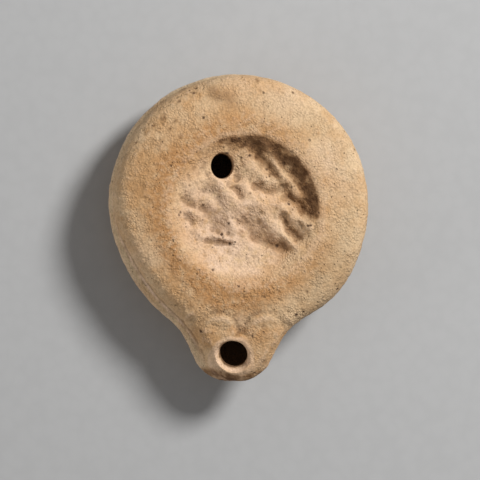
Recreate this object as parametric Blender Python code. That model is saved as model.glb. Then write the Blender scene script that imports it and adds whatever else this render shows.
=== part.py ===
"""Roman oil lamp, one mould-made piece of fired clay.

A round closed reservoir with a sunk disc on top that carries a worn relief, a wide
rounded shoulder, and a short round-ended nozzle with a heart-shaped top. It is hollow:
oil goes in at the small hole in the disc, and the wick lies in the hole of the nozzle.

Units are metres and +Z is up. The nozzle points to -Y, and the origin is the middle of
the flat base that the lamp stands on.
"""

from math import cos, pi, radians, sin

import bmesh
import bpy
import numpy as np

# plan of the upper half
BODY_RADIUS = 0.0420
NOZZLE_LENGTH = 0.0161
NOZZLE_TIP_RADIUS = 0.0117
NOZZLE_PLACE = -0.0006
NOZZLE_FLARE = radians(27)
NOZZLE_FILLET = 0.0050

# where each half departs from a circle: (direction, half width, swelling)
UPPER_SWELLS = (
    (radians(-43), radians(21), 0.0011),
    (radians(-148), radians(23), -0.0022),
)
LOWER_SWELLS = (
    (radians(-43), radians(21), 0.0011),
    (radians(-118), radians(17), 0.0019),
)

# heights, and the rounding of the shoulder
SEAM_HEIGHT = 0.0160
SHOULDER_RISE = 0.0106
SHOULDER_FALL = 0.0034
SHOULDER_BEND = 1.4
SHOULDER_ROUNDING = 0.0037
SHOULDER_FULLNESS = 2.2
RIM_WIDTH = 0.0022

# plate on top of the nozzle
PLATE_RISE = 0.0078
PLATE_FALL = 0.0034
PLATE_ROUNDING = 0.0042
PLATE_BLEND = 9
HEART_STEP = 0.0008
HEART_EDGE = 0.0024
HEART_MARGIN = 0.0012
HEART_LOBE_RADIUS = 0.0062
HEART_LOBE_SPREAD = 0.0075

# lower half, made in its own mould and joined a little out of line
SEAM_DROP = 0.0028
SEAM_FULLNESS = 1.6
LOWER_MARGIN = 0.0002
LOWER_SLIP = (-0.0007, 0.0004)
LOWER_TURN = radians(-3.2)
LOWER_FULLNESS = 1.6
NOZZLE_FULLNESS = 1.5
NOZZLE_SPREAD = radians(46)

# flat base with a turned ring
BASE_RADIUS = 0.0210
RING_RADIUS = 0.0176
RING_WIDTH = 0.0016
RING_DEPTH = 0.0006

# sunk disc
DISCUS_RADIUS = 0.0243
DISCUS_PLACE = (0.0003, -0.0022)
DISCUS_DEPTH = 0.0044
DISCUS_ROUNDING = 0.0011
BOWL_STEEP_RUN = 0.0066
BOWL_GENTLE_RUN = 0.0120
BOWL_STEEP_SIDE = radians(40)

# clay walls
WALL = 0.0035
FLOOR = 0.0040
CEILING_RUN = 0.0050

# holes
FILL_HOLE_WIDTH = 0.0075
FILL_HOLE_LENGTH = 0.0085
FILL_HOLE_TAPER = 0.92
FILL_HOLE_SPOT = (-6.8, 14.2)
WICK_HOLE_RADIUS = 0.0060
WICK_HOLE_RIM = 0.0005
WICK_HOLE_SIDE = radians(-124)
WICK_HOLE_TAPER = 0.76
WICK_HOLE_LEAN = (0.0008, 0.0015)

# worn relief: a beast springing to the left with a rider on its back
RELIEF_GRID = DISCUS_RADIUS / 24
RELIEF_HEIGHT = 0.0018
RELIEF_MARGIN = 0.0022

# each ridge is (route in relief grid steps from the disc's middle, half width, height)
RIDGES = {
    "rider's back": (((-0.5, 18.4), (2.4, 14.9), (5.3, 11.4), (9.4, 8.6)), 2.6, 0.6),
    "tail": (((4.7, 23), (8.8, 17.2), (12.2, 12), (15.1, 8), (17.5, 4.5)), 1.7, 0.65),
    "shoulder": (((-9.2, 9.1), (-6.3, 5.7), (-2.8, 2.2), (-1.1, -0.6)), 2.8, 0.85),
    "brow": (((-17, 8), (-13.5, 9)), 3.0, 0.55),
    "head": (((-15.6, 4.6), (-12.8, 2.6)), 2.8, 0.6),
    "jaw": (((-16.6, -1.0), (-13.6, -2.0)), 2.0, 0.4),
    "body": (((0.4, 2.4), (4.7, 2.2), (9.4, 0.4), (12.4, -1.2)), 4.2, 0.95),
    "haunch": (((11.7, 1.1), (15.1, -0.6), (18.6, -3.5), (20.9, -5.8)), 2.2, 0.95),
    "hind leg": (((7, -1.8), (10.5, -6.4), (14, -9.8), (15.7, -11.6)), 2.3, 0.75),
    "foreleg": (((-5.1, 0.5), (-3.4, -4.1), (-2.2, -7.5)), 2.3, 0.6),
    "forefoot": (((-13.8, -7.5), (-9.2, -8.7), (-4, -9.8)), 1.6, 0.4),
    "arm": (((-3.4, 8), (0.7, 8.3)), 1.5, 0.5),
    "thigh": (((1.8, 6.3), (4.7, 2.8)), 2.2, 0.75),
}

# each hollow is (route, half width, depth)
HOLLOWS = {
    "behind the rider": (((-2.2, 12.6), (-1.7, 10.6)), 1.4, 0.4),
    "at the waist": (((-3, 7.4), (-0.8, 4.6)), 1.4, 0.45),
    "over the rump": (((3.8, 8), (7.2, 5.9), (10.5, 6.8), (13.6, 7.8)), 1.3, 0.45),
    "behind the haunch": (((12.8, -2.9), (15.1, -6.4), (17.5, -8.7)), 1.6, 0.55),
    "under the belly": (((0, -2.9), (3.6, -7), (8.2, -11), (12.2, -12.1)), 2.8, 0.55),
    "at the belly's foot": (((-1.2, -7.5), (4, -9), (9, -10.8), (14.4, -12.3)), 1.4, 0.35),
    "at the muzzle": (((-19.2, 3.8), (-17.4, 1.6)), 1.6, 0.3),
    "at the chin": (((-18.5, -3), (-16.5, -4)), 1.5, 0.35),
    "at the neck": (((-12.5, 0.5), (-10.5, -3), (-8.5, -6)), 2.2, 0.4),
}

# fineness of the faceted skin
SEGMENTS = 104
NOZZLE_CROWDING = 0.30
CHAMBER_SEGMENTS = 52
BASE_SEGMENTS = 48
DISCUS_RINGS = 19
CHAMBER_DISCUS_RINGS = 7
SHOULDER_SHARES = (0.0, 0.02, 0.06, 0.12, 0.20, 0.30, 0.42, 0.55, 0.69, 0.84)
SEAM_SHARES = (0.12, 0.42)
LOWER_LEVELS = (1.0, 0.82, 0.64, 0.48, 0.33, 0.20, 0.10, 0.03)
HOLE_SEGMENTS = 32
CUT_CLEARANCE = 0.0040

CLAY_COLOUR = (0.50, 0.31, 0.18, 1.0)
CLAY_ROUGHNESS = 0.92

# sizes worked out from the ones above
SHOULDER_RUN = BODY_RADIUS - DISCUS_RADIUS - RIM_WIDTH
NOZZLE_CENTRE = -(BODY_RADIUS + NOZZLE_LENGTH - NOZZLE_TIP_RADIUS)
FILL_HOLE_CENTRE = tuple(
    place + spot * RELIEF_GRID for place, spot in zip(DISCUS_PLACE, FILL_HOLE_SPOT)
)
WICK_HOLE_REACH = NOZZLE_TIP_RADIUS - WICK_HOLE_RADIUS - WICK_HOLE_RIM
WICK_HOLE_CENTRE = (
    NOZZLE_PLACE + WICK_HOLE_REACH * cos(WICK_HOLE_SIDE),
    NOZZLE_CENTRE + WICK_HOLE_REACH * sin(WICK_HOLE_SIDE),
)


def ease(t):
    """Rises smoothly from 0 to 1 while t goes from 0 to 1."""
    t = np.clip(t, 0.0, 1.0)
    return t * t * (3.0 - 2.0 * t)


def rounded(t, fullness):
    """Quarter of a superellipse: upright at t = 0, and level at 1 from t = 1 on."""
    t = np.clip(t, 0.0, 1.0)
    return (1.0 - (1.0 - t) ** fullness) ** (1.0 / fullness)


def body_inset(x, y, swells):
    """How far a point lies inside the body, a circle that swells in some directions."""
    radius = BODY_RADIUS
    for direction, width, swell in swells:
        aside = (np.arctan2(y, x) - direction + pi) % (2.0 * pi) - pi
        radius = radius + swell * np.exp(-((aside / width) ** 2))
    return radius - np.hypot(x, y)


def nozzle_inset(x, y):
    """How far a point lies inside the nozzle: a round tip whose straight sides spread."""
    across = np.abs(x - NOZZLE_PLACE)
    along = y - NOZZLE_CENTRE
    tip = NOZZLE_TIP_RADIUS - np.hypot(across, along)
    side = NOZZLE_TIP_RADIUS + along * sin(NOZZLE_FLARE) - across * cos(NOZZLE_FLARE)
    past_tip = along * cos(NOZZLE_FLARE) + across * sin(NOZZLE_FLARE) > 0.0
    return np.minimum(np.where(past_tip, side, tip), -y)


def plan_inset(x, y, swells):
    """How far a point lies inside body and nozzle together, with filled corners."""
    body = body_inset(x, y, swells)
    nozzle = nozzle_inset(x, y)
    share = np.clip(0.5 + 0.5 * (body - nozzle) / NOZZLE_FILLET, 0.0, 1.0)
    return nozzle + (body - nozzle) * share + NOZZLE_FILLET * share * (1.0 - share)


def heart_inset(x, y):
    """How far a point lies inside the heart on top of the nozzle, between its two lobes."""
    lobe_place = -BODY_RADIUS
    aside = np.abs(x - NOZZLE_PLACE) - HEART_LOBE_SPREAD
    lobes = HEART_LOBE_RADIUS - np.hypot(aside, y - lobe_place)
    point = np.minimum(nozzle_inset(x, y) - HEART_MARGIN, lobe_place - y)
    return np.maximum(lobes, point)


def shoulder_height(x, y):
    """Height of the domed shoulder and the flatter nozzle plate, before the disc is sunk."""
    body = body_inset(x, y, UPPER_SWELLS)
    nozzle = nozzle_inset(x, y)
    filled = plan_inset(x, y, UPPER_SWELLS) - np.maximum(body, nozzle)
    outward = np.clip(1.0 - (body + filled) / SHOULDER_RUN, 0.0, 1.0)
    dome = (SHOULDER_RISE - SHOULDER_FALL * outward**SHOULDER_BEND) * rounded(
        (body + filled) / SHOULDER_ROUNDING, SHOULDER_FULLNESS
    )
    down_nozzle = np.clip((-y - BODY_RADIUS) / NOZZLE_LENGTH, 0.0, 1.0)
    plate = (PLATE_RISE - PLATE_FALL * down_nozzle) * rounded(
        (nozzle + filled) / PLATE_ROUNDING, 2.0
    )
    top = (dome**PLATE_BLEND + plate**PLATE_BLEND) ** (1.0 / PLATE_BLEND)
    return SEAM_HEIGHT + top + HEART_STEP * ease(heart_inset(x, y) / HEART_EDGE)


def bowl_depth(x, y):
    """How deep the disc is sunk: steep on one side and running out gently on the other."""
    across = x - DISCUS_PLACE[0]
    along = y - DISCUS_PLACE[1]
    turned = np.cos(np.arctan2(along, across) - BOWL_STEEP_SIDE)
    run = BOWL_GENTLE_RUN + (BOWL_STEEP_RUN - BOWL_GENTLE_RUN) * ease(0.5 + 0.5 * turned)
    inward = DISCUS_RADIUS - np.hypot(across, along)
    inward = 0.5 * (inward + np.sqrt(inward**2 + DISCUS_ROUNDING**2))
    return DISCUS_DEPTH * (1.0 - (1.0 - np.minimum(inward / run, 1.0)) ** 2)


def distance_to_route(x, y, route):
    """Shortest distance from each point to a line through the route's points."""
    nearest = np.full(np.shape(x), np.inf)
    for (x0, y0), (x1, y1) in zip(route, route[1:]):
        length_squared = (x1 - x0) ** 2 + (y1 - y0) ** 2
        share = ((x - x0) * (x1 - x0) + (y - y0) * (y1 - y0)) / length_squared
        share = np.clip(share, 0.0, 1.0)
        gap = np.hypot(x - x0 - share * (x1 - x0), y - y0 - share * (y1 - y0))
        nearest = np.minimum(nearest, gap)
    return nearest


def relief_height(x, y):
    """Worn figures on the floor of the disc: soft ridges and shallow hollows."""
    across = (x - DISCUS_PLACE[0]) / RELIEF_GRID
    along = (y - DISCUS_PLACE[1]) / RELIEF_GRID
    total = np.zeros(np.shape(x))
    for route, width, height in RIDGES.values():
        ridge = height * np.exp(-((distance_to_route(across, along, route) / width) ** 2))
        total = total + ridge**2
    total = np.sqrt(total)
    for route, width, depth in HOLLOWS.values():
        total = total - depth * np.exp(
            -((distance_to_route(across, along, route) / width) ** 2)
        )
    inward = DISCUS_RADIUS - np.hypot(across, along) * RELIEF_GRID
    return RELIEF_HEIGHT * total * ease(inward / RELIEF_MARGIN)


def top_height(x, y):
    """Height of the finished upper surface."""
    return shoulder_height(x, y) - bowl_depth(x, y) + relief_height(x, y)


def outline(angles, inset, swells):
    """Points of the plan's outline at an inset, one along each direction from the axis."""
    near = np.zeros(len(angles))
    far = np.full(len(angles), BODY_RADIUS + NOZZLE_LENGTH + NOZZLE_TIP_RADIUS)
    for _ in range(40):
        middle = (near + far) / 2
        depth = plan_inset(middle * np.cos(angles), middle * np.sin(angles), swells)
        near = np.where(depth > inset, middle, near)
        far = np.where(depth > inset, far, middle)
    return near * np.cos(angles), near * np.sin(angles)


def lower_outline(angles, inset):
    """The outline of the lower half, turned and slipped against the upper half."""
    x, y = outline(angles, inset, LOWER_SWELLS)
    turned_x = x * cos(LOWER_TURN) - y * sin(LOWER_TURN)
    turned_y = x * sin(LOWER_TURN) + y * cos(LOWER_TURN)
    return turned_x + LOWER_SLIP[0], turned_y + LOWER_SLIP[1]


def directions(count):
    """Angles round the axis, the first along -Y, and closer together near the nozzle."""
    turned = np.arange(count) * (2.0 * pi / count)
    return turned - NOZZLE_CROWDING * np.sin(turned) - pi / 2


def circle(angles, radius, centre, height):
    """A level ring of points."""
    x = centre[0] + radius * np.cos(angles)
    y = centre[1] + radius * np.sin(angles)
    return np.column_stack((x, y, np.full(len(angles), height)))


def upper_rings(angles, discus_rings, inset, height):
    """Rings from the sunk disc out to the seam, each point at the height given for it."""
    rings = []
    for step in range(1, discus_rings + 1):
        radius = DISCUS_RADIUS * step / discus_rings
        rings.append(circle(directions(6 * step), radius, DISCUS_PLACE, 0.0))
    edge = circle(angles, DISCUS_RADIUS, DISCUS_PLACE, 0.0)
    outer_x, outer_y = outline(angles, inset, UPPER_SWELLS)
    for share in reversed(SHOULDER_SHARES):
        x = outer_x + (edge[:, 0] - outer_x) * share
        y = outer_y + (edge[:, 1] - outer_y) * share
        rings.append(np.column_stack((x, y, np.zeros(len(angles)))))
    for ring in rings:
        ring[:, 2] = height(ring[:, 0], ring[:, 1])
    return rings


def lower_rings(angles, inset, top, bottom):
    """Rings of the bowl-shaped underside, from below the seam in to the flat bottom."""
    outer_x, outer_y = lower_outline(angles, inset)
    from_nozzle = np.abs((angles + 1.5 * pi) % (2.0 * pi) - pi)
    fullness = LOWER_FULLNESS + (NOZZLE_FULLNESS - LOWER_FULLNESS) * ease(
        1.0 - from_nozzle / NOZZLE_SPREAD
    )
    rings = []
    for level in LOWER_LEVELS:
        out = rounded(level, fullness)
        x = BASE_RADIUS * np.cos(angles) * (1.0 - out) + outer_x * out
        y = BASE_RADIUS * np.sin(angles) * (1.0 - out) + outer_y * out
        height = bottom + (top - bottom) * level
        rings.append(np.column_stack((x, y, np.full(len(angles), height))))
    rings.append(circle(angles, BASE_RADIUS, (0.0, 0.0), bottom))
    return rings


def seam_rings(angles):
    """The band where the two halves join: from the upper outline down to the lower one."""
    upper_x, upper_y = outline(angles, 0.0, UPPER_SWELLS)
    lower_x, lower_y = lower_outline(angles, -LOWER_MARGIN)
    rings = []
    for share in SEAM_SHARES:
        out = rounded(share, SEAM_FULLNESS)
        x = upper_x + (lower_x - upper_x) * out
        y = upper_y + (lower_y - upper_y) * out
        height = SEAM_HEIGHT - SEAM_DROP * share
        rings.append(np.column_stack((x, y, np.full(len(angles), height))))
    return rings


def base_rings(angles):
    """The turned ring in the flat base: down one side of the groove and up the other."""
    half = RING_WIDTH / 2
    steps = ((half, 0.0), (half / 2, RING_DEPTH), (-half / 2, RING_DEPTH), (-half, 0.0))
    return [circle(angles, RING_RADIUS + out, (0.0, 0.0), rise) for out, rise in steps]


def bridge(first, count, next_first, next_count):
    """Triangles between two rings, stepping along whichever of them is behind."""
    faces = []
    here = 0
    there = 0
    while here < count or there < next_count:
        near = first + here % count
        far = next_first + there % next_count
        if here == count or (there + 1) * count <= (here + 1) * next_count:
            there += 1
            faces.append((near, far, next_first + there % next_count))
        else:
            here += 1
            faces.append((near, far, first + here % count))
    return faces


def skin(name, top, rings, bottom):
    """A closed loft from a top point through the rings to a bottom point."""
    points = [top]
    faces = []
    starts = []
    for ring in rings:
        starts.append(len(points))
        points += [tuple(point) for point in ring]
    last = len(points)
    points.append(bottom)
    for i in range(len(rings[0])):
        j = (i + 1) % len(rings[0])
        faces.append((0, starts[0] + i, starts[0] + j))
    for k in range(len(rings) - 1):
        faces += bridge(starts[k], len(rings[k]), starts[k + 1], len(rings[k + 1]))
    for i in range(len(rings[-1])):
        j = (i + 1) % len(rings[-1])
        faces.append((starts[-1] + i, last, starts[-1] + j))
    mesh = bpy.data.meshes.new(name)
    mesh.from_pydata(points, [], faces)
    mesh.update()
    return bpy.data.objects.new(name, mesh)


def lamp_skin():
    """The outside of the lamp: disc, shoulder, seam, bowl and base."""
    angles = directions(SEGMENTS)
    rings = upper_rings(angles, DISCUS_RINGS, 0.0, top_height)
    rings += seam_rings(angles)
    rings += lower_rings(angles, -LOWER_MARGIN, SEAM_HEIGHT - SEAM_DROP, 0.0)
    rings += base_rings(directions(BASE_SEGMENTS))
    middle = (*DISCUS_PLACE, float(top_height(*DISCUS_PLACE)))
    return skin("lamp", middle, rings, (0.0, 0.0, 0.0))


def ceiling_height(x, y):
    """Height of the chamber's ceiling, a wall's thickness below the upper surface."""
    inward = rounded((plan_inset(x, y, UPPER_SWELLS) - WALL) / CEILING_RUN, 2.0)
    outside = shoulder_height(x, y) - bowl_depth(x, y)
    return SEAM_HEIGHT + (outside - WALL - SEAM_HEIGHT) * inward


def chamber():
    """The hollow inside: the oil chamber, running on into the nozzle."""
    angles = directions(CHAMBER_SEGMENTS)
    rings = upper_rings(angles, CHAMBER_DISCUS_RINGS, WALL, ceiling_height)
    rings += lower_rings(angles, WALL, SEAM_HEIGHT - SEAM_DROP, FLOOR)
    middle = (*DISCUS_PLACE, float(ceiling_height(*DISCUS_PLACE)))
    return skin("chamber", middle, rings, (0.0, 0.0, FLOOR))


def hole_cutter(name, centre, surface, radii, taper, lean):
    """A round cutter through the clay that narrows and leans as it goes down."""
    reach = WALL + CUT_CLEARANCE
    mesh = bpy.data.meshes.new(name)
    shape = bmesh.new()
    bmesh.ops.create_cone(
        shape, cap_ends=True, segments=HOLE_SEGMENTS, radius1=1.0, radius2=1.0, depth=2.0
    )
    for vertex in shape.verts:
        down = -vertex.co.z * reach / WALL
        size = 1.0 - (1.0 - taper) * down
        vertex.co.x = centre[0] + vertex.co.x * radii[0] * size + lean[0] * down
        vertex.co.y = centre[1] + vertex.co.y * radii[1] * size + lean[1] * down
        vertex.co.z = surface + vertex.co.z * reach
    shape.to_mesh(mesh)
    shape.free()
    return bpy.data.objects.new(name, mesh)


def fill_hole_cutter():
    """The oval hole that the oil is poured in through."""
    surface = float(top_height(*FILL_HOLE_CENTRE))
    radii = (FILL_HOLE_WIDTH / 2, FILL_HOLE_LENGTH / 2)
    return hole_cutter(
        "fill_hole", FILL_HOLE_CENTRE, surface, radii, FILL_HOLE_TAPER, (0.0, 0.0)
    )


def wick_hole_cutter():
    """The round hole for the wick, whose wall slopes in on the side of the tip."""
    surface = float(top_height(*WICK_HOLE_CENTRE))
    radii = (WICK_HOLE_RADIUS, WICK_HOLE_RADIUS)
    return hole_cutter(
        "wick_hole", WICK_HOLE_CENTRE, surface, radii, WICK_HOLE_TAPER, WICK_HOLE_LEAN
    )


def clay():
    """Matte buff-orange terracotta."""
    material = bpy.data.materials.new("terracotta")
    material.use_nodes = True
    shader = material.node_tree.nodes["Principled BSDF"]
    shader.inputs["Base Color"].default_value = CLAY_COLOUR
    shader.inputs["Roughness"].default_value = CLAY_ROUGHNESS
    shader.inputs["Metallic"].default_value = 0.0
    material.diffuse_color = CLAY_COLOUR
    return material


def collection(name):
    """A new collection in the scene."""
    made = bpy.data.collections.new(name)
    bpy.context.scene.collection.children.link(made)
    return made


def build():
    """Makes the lamp: the outer skin, less the chamber and the two holes."""
    for item in list(bpy.data.objects):
        bpy.data.objects.remove(item, do_unlink=True)
    parts = collection("roman_oil_lamp")
    cutters = collection("cutters")
    lamp = lamp_skin()
    parts.objects.link(lamp)
    lamp.data.materials.append(clay())
    for cutter in (chamber(), fill_hole_cutter(), wick_hole_cutter()):
        cutters.objects.link(cutter)
        cutter.hide_render = True
        cutter.display_type = "WIRE"
        cut = lamp.modifiers.new(cutter.name, "BOOLEAN")
        cut.operation = "DIFFERENCE"
        cut.solver = "EXACT"
        cut.object = cutter
    lamp.data.shade_smooth()
    lamp.data.set_sharp_from_angle(angle=radians(35))


build()
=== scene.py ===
"""Roman oil lamp: the worn surface of the fired clay, its colours, and a plain stage for it.

The lamp is one mould-made piece. Its surface is worked out here from the same sizes as the solid
model, with finer relief, hand-made unevenness, pits and worn edges. Units are metres and +Z is up.
The nozzle points to -Y, and the origin is the middle of the base.
"""

from itertools import product
from math import cos, pi, radians, sin

import bpy
import numpy as np
from bpy.props import FloatProperty, FloatVectorProperty, IntProperty, PointerProperty
from mathutils import Matrix, Vector


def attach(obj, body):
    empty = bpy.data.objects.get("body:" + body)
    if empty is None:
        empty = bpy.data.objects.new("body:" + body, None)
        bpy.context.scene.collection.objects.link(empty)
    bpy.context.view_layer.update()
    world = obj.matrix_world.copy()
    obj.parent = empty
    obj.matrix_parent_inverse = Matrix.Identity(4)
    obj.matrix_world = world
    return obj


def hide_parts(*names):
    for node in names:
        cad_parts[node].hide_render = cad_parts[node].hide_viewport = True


bl_info = {
    "name": "Roman oil lamp",
    "version": (1, 0, 0),
    "blender": (4, 5, 0),
    "location": "3D View > Sidebar > Oil lamp",
    "description": "Makes a worn mould-made clay oil lamp and a plain stage for it",
    "category": "Object",
}

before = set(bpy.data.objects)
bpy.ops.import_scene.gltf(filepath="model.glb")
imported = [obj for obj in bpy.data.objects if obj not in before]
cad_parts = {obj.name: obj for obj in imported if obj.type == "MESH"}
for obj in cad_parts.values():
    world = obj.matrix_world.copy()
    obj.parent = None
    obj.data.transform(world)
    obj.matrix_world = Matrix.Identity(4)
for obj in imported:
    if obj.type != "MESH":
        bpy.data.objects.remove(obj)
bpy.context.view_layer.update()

# where each half departs from a circle: (direction, half width, swelling)
UPPER_SWELLS = (
    (radians(-43), radians(21), 0.0011),
    (radians(-148), radians(23), -0.0022),
)
LOWER_SWELLS = (
    (radians(-43), radians(21), 0.0011),
    (radians(-118), radians(17), 0.0019),
)

# the lower half is joined a little out of line
LOWER_SLIP = (-0.0007, 0.0004)
LOWER_TURN = radians(-3.2)
DISCUS_PLACE = (0.0003, -0.0022)

# forms of the shoulder, the nozzle's top and the wick hole
SHOULDER_BEND = 1.4
PLATE_BLEND = 9
WICK_HOLE_LEAN = (0.0008, 0.0015)

# worn relief, in steps of 1/24 of the disc's radius: (route, half width, height)
RELIEF_STEPS = 24
RIDGES = {
    "rider's back": (((-0.5, 18.4), (2.4, 14.9), (5.3, 11.4), (9.4, 8.6)), 2.6, 0.6),
    "tail": (((4.7, 23), (8.8, 17.2), (12.2, 12), (15.1, 8), (17.5, 4.5)), 1.7, 0.65),
    "shoulder": (((-9.2, 9.1), (-6.3, 5.7), (-2.8, 2.2), (-1.1, -0.6)), 2.8, 0.85),
    "brow": (((-17, 8), (-13.5, 9)), 3.0, 0.55),
    "head": (((-15.6, 4.6), (-12.8, 2.6)), 2.8, 0.6),
    "jaw": (((-16.6, -1.0), (-13.6, -2.0)), 2.0, 0.4),
    "body": (((0.4, 2.4), (4.7, 2.2), (9.4, 0.4), (12.4, -1.2)), 4.2, 0.95),
    "haunch": (((11.7, 1.1), (15.1, -0.6), (18.6, -3.5), (20.9, -5.8)), 2.2, 0.95),
    "hind leg": (((7, -1.8), (10.5, -6.4), (14, -9.8), (15.7, -11.6)), 2.3, 0.75),
    "foreleg": (((-5.1, 0.5), (-3.4, -4.1), (-2.2, -7.5)), 2.3, 0.6),
    "forefoot": (((-13.8, -7.5), (-9.2, -8.7), (-4, -9.8)), 1.6, 0.4),
    "arm": (((-3.4, 8), (0.7, 8.3)), 1.5, 0.5),
    "thigh": (((1.8, 6.3), (4.7, 2.8)), 2.2, 0.75),
}
HOLLOWS = {
    "behind the rider": (((-2.2, 12.6), (-1.7, 10.6)), 1.4, 0.4),
    "at the waist": (((-3, 7.4), (-0.8, 4.6)), 1.4, 0.45),
    "over the rump": (((3.8, 8), (7.2, 5.9), (10.5, 6.8), (13.6, 7.8)), 1.3, 0.45),
    "behind the haunch": (((12.8, -2.9), (15.1, -6.4), (17.5, -8.7)), 1.6, 0.55),
    "under the belly": (((0, -2.9), (3.6, -7), (8.2, -11), (12.2, -12.1)), 2.8, 0.55),
    "at the belly's foot": (((-1.2, -7.5), (4, -9), (9, -10.8), (14.4, -12.3)), 1.4, 0.35),
    "under the foot": (((-11.4, -9.6), (-8, -10.4), (-4.6, -11)), 0.8, 0.35),
    "at the muzzle": (((-19.2, 3.8), (-17.4, 1.6)), 1.6, 0.3),
    "at the chin": (((-18.5, -3), (-16.5, -4)), 1.5, 0.35),
    "at the neck": (((-12.5, 0.5), (-10.5, -3), (-8.5, -6)), 2.2, 0.4),
    "over the haunch": (((14.6, 3.6), (18.2, 1)), 1.3, 0.45),
}

# darkening in the disc, in the same steps: (route, half width, strength)
# partly dirt, partly painted shade: the steep side's shaded wall, the shaded upper right and the
# relief's hollows
DIRT_AND_SHADE = {
    "along the steep side": (((3, 22.6), (9, 20.4), (16, 15), (20.9, 7), (21.8, 0)), 3.1, 1.4),
    "along the upper rim": (((-7.5, 21.8), (-3, 23.2), (3, 23.2)), 1.3, 0.8),
    "over the rider": (((-3.5, 22.2), (1.2, 21.2), (5.6, 17), (10.2, 12.2)), 2.0, 1.1),
    "beside the tail": (((9.5, 14), (14.5, 7), (18.6, 1.4)), 2.8, 0.60),
    "over the haunch": (((14.6, 3.6), (18.2, 1)), 1.8, 0.35),
    "over the rump": (((3.8, 8), (7.2, 5.9), (10.5, 6.8), (13.6, 7.8)), 1.0, 0.30),
    "under the belly": (((0, -2.9), (3.6, -7), (8.2, -11), (12.2, -12.1)), 2.6, 0.46),
    "at the belly's foot": (((-1.2, -7.5), (4, -9), (9, -10.8), (14.4, -12.3)), 1.4, 0.50),
    "at the neck": (((-15, 2.5), (-10, -1.5), (-8, -6)), 3.0, 0.36),
    "at the muzzle": (((-19.2, 3.8), (-17.4, 1.6)), 1.6, 0.30),
    "at the waist": (((-3, 7.4), (-0.8, 4.6)), 1.5, 0.32),
    "under the foot": (((-11, -9.8), (-8, -10.4), (-5.4, -10.8)), 0.6, 0.45),
    "behind the haunch": (((12.8, -2.9), (15.1, -6.4), (17.5, -8.7)), 1.6, 0.48),
}

# small marks of the mould: radius or gap, half width and height
WORN_RING = (0.0290, 0.0008, -0.00007)
WORN_RING_SIDE = radians(-135)
HOLE_COLLAR = (0.0007, 0.0008, 0.00022)
LOBE_GROOVE = (0.0006, -0.00008)

# dents pressed in where the shoulder meets the nozzle: (place, radius, depth)
DENTS = (
    ((-0.0176, -0.0345), 0.0011, 0.00040),
    ((-0.0168, -0.0376), 0.0011, 0.00045),
    ((0.0146, -0.0350), 0.0011, 0.00035),
)

# dark pits that stand out: (place, radius)
BIG_PITS = (
    ((-0.0131, 0.0277), 0.00040),
    ((-0.0130, 0.0269), 0.00030),
    ((-0.0275, 0.0242), 0.00035),
    ((-0.0304, 0.0233), 0.00030),
    ((-0.0381, 0.0177), 0.00030),
    ((-0.0103, -0.0425), 0.00035),
    ((0.0031, -0.0431), 0.00035),
    ((0.0115, -0.0138), 0.00045),
    ((0.0155, -0.0088), 0.00045),
    ((0.0089, -0.0168), 0.00035),
)

# brown stains: (place, radius, strength)
STAINS = (
    ((-0.0259, 0.0275), 0.0010, 0.70),
    ((-0.0223, 0.0265), 0.0007, 0.60),
    ((-0.0240, 0.0240), 0.0005, 0.60),
    ((-0.0290, 0.0250), 0.0005, 0.60),
    ((-0.0205, 0.0215), 0.0005, 0.45),
    ((-0.0270, 0.0205), 0.0004, 0.55),
    ((-0.0091, 0.0350), 0.0028, 0.40),
    ((-0.0046, 0.0334), 0.0024, 0.32),
    ((-0.0110, 0.0384), 0.0018, 0.25),
    ((-0.0197, 0.0376), 0.0008, 0.80),
    ((-0.0186, 0.0377), 0.0006, 0.80),
    ((0.0049, 0.0400), 0.0006, 0.60),
    ((0.0071, -0.0507), 0.0014, 0.40),
    ((-0.0300, 0.0180), 0.0030, 0.18),
    ((-0.0340, 0.0050), 0.0035, 0.16),
    ((0.0310, -0.0210), 0.0110, 0.13),
    ((0.0240, -0.0290), 0.0050, 0.10),
)

# pale patches on the shoulder: (place, radius, strength)
PALE_PATCHES = (
    ((0.0275, 0.0155), 0.0060, 0.40),
    ((0.0330, 0.0050), 0.0050, 0.25),
    ((0.0145, 0.0340), 0.0070, 0.30),
    ((-0.0010, 0.0390), 0.0050, 0.25),
    ((-0.0005, -0.0385), 0.0022, 0.55),
    ((-0.0330, -0.0180), 0.0060, 0.20),
)

# cells of the noise that moves the relief and roughens the clay
WEAR_CELL = 0.0032
WAVE_CELL = 0.012
LUMP_CELL = 0.0034
WRINKLE_CELL = 0.0016
GRAIN_CELL = 0.00075

# the ochre stain: a ring round the disc, the nozzle's root, and the lamp's left side
OCHRE_RING_RADIUS = 0.0278
OCHRE_RING_WIDTH = 0.0040
OCHRE_RING_SIDE = radians(-140)
NOZZLE_ROOT = 0.0360
NOZZLE_ROOT_WIDTH = 0.0105
OCHRE_SIDE = radians(155)

# the cream bloom on the disc, by its place from the disc's middle
BLOOM_PLACE = (-0.0060, -0.0075)
BLOOM_WIDTH = 0.0200

# directions of the olive cast, the seam's painted highlight and the painted shade on the edge
OLIVE_SIDE = radians(-6)
SEAM_HIGHLIGHT_SIDE = radians(-142)
SEAM_HIGHLIGHT_REACH = radians(38)
SHADED_EDGE_SIDE = radians(-35)
SHADED_EDGE_REACH = radians(34)

# nicks along the upper left edge: directions in degrees, and places in from the edge
NICK_ARC = (112.0, 152.0)
NICK_INSET = 0.0012
NICK_BAND = 0.0020

# lights: size, colour, azimuth, elevation, distance
KEY_LIGHT = (0.32, (1.0, 0.985, 0.955), radians(42), radians(44), 1.1)
SIDE_LIGHT = (0.5, (1.0, 0.985, 0.96), radians(205), radians(9), 1.3)
SKY = (1.0, 0.975, 0.945, 1.0)
FLOOR_REACH = 4.0

# the camera looks down, leaning a little to the left and to the front
CAMERA_ASIDE = radians(6.5)
CAMERA_AHEAD = radians(1.5)
CAMERA_TARGET = (-0.00007, -0.01175, 0.0160)
SENSOR_WIDTH = 36.0

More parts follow.
